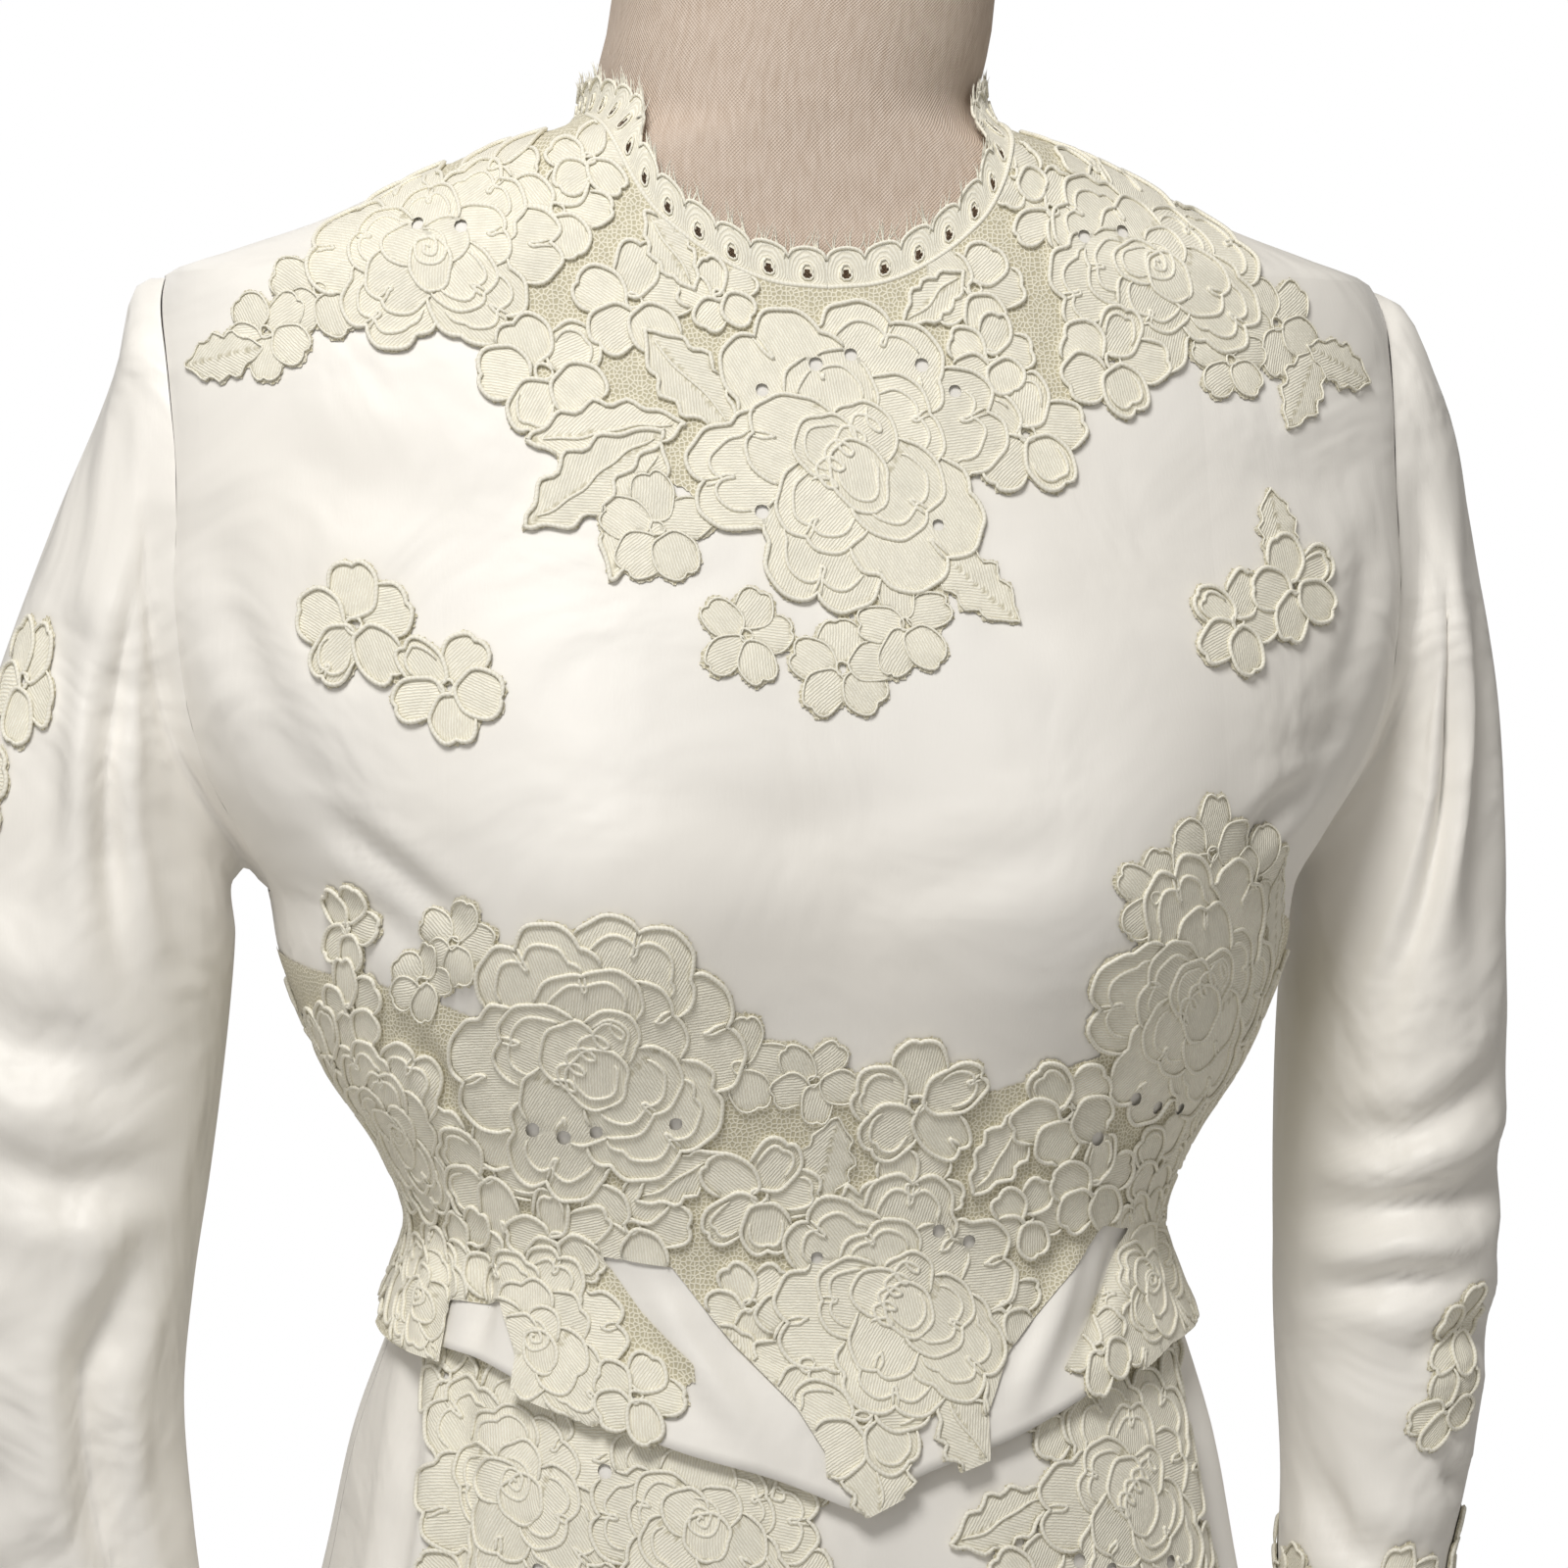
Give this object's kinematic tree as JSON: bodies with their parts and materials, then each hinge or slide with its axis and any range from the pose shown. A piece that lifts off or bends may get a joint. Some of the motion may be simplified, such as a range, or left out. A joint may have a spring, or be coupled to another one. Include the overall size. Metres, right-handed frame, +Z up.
{
  "type": "wedding dress on dress form",
  "caption": "Long-sleeved satin wedding dress with lace applique, an A-line skirt and a buttoned back, standing on a limbless linen dress form.",
  "frame": {"origin": "centre of the stand's round base, on the floor", "axes": "+Z up through the form, the dress faces -Y, +X on the viewer's right"},
  "size_m": [0.7213, 0.6887, 1.5228],
  "materials": {
    "satin": "ivory duchesse satin, soft sheen",
    "lace": "matt corded cotton lace, sage cream",
    "linen": "plain-woven linen cover",
    "iron": "black painted stand, half matt",
    "beech": "turned and waxed"
  },
  "bodies": {
    "root": {"bodice_back_left": "satin", "bodice_back_right": "satin", "bodice_front": "satin", "button_01": "satin", "button_02": "satin", "button_03": "satin", "button_04": "satin", "button_05": "satin", "button_06": "satin", "button_07": "satin", "button_08": "satin", "button_09": "satin", "button_10": "satin", "button_11": "satin", "button_12": "satin", "form_base": "iron", "form_cap": "beech", "form_collar": "iron", "form_pole": "iron", "form_torso": "linen", "lace_cuff_left": "lace", "lace_cuff_right": "lace", "lace_girdle": "lace", "lace_girdle_back_left": "lace", "lace_girdle_back_right": "lace", "lace_neck_band": "lace", "lace_neck_lashes": "lace", "lace_skirt_left": "lace", "lace_skirt_right": "lace", "lace_sleeve_left": "lace", "lace_sleeve_right": "lace", "lace_sprig_left": "lace", "lace_sprig_right": "lace", "lace_yoke": "lace", "skirt_back_left": "satin", "skirt_back_right": "satin", "skirt_front": "satin", "sleeve_left": "satin", "sleeve_right": "satin"}
  },
  "joints": []
}
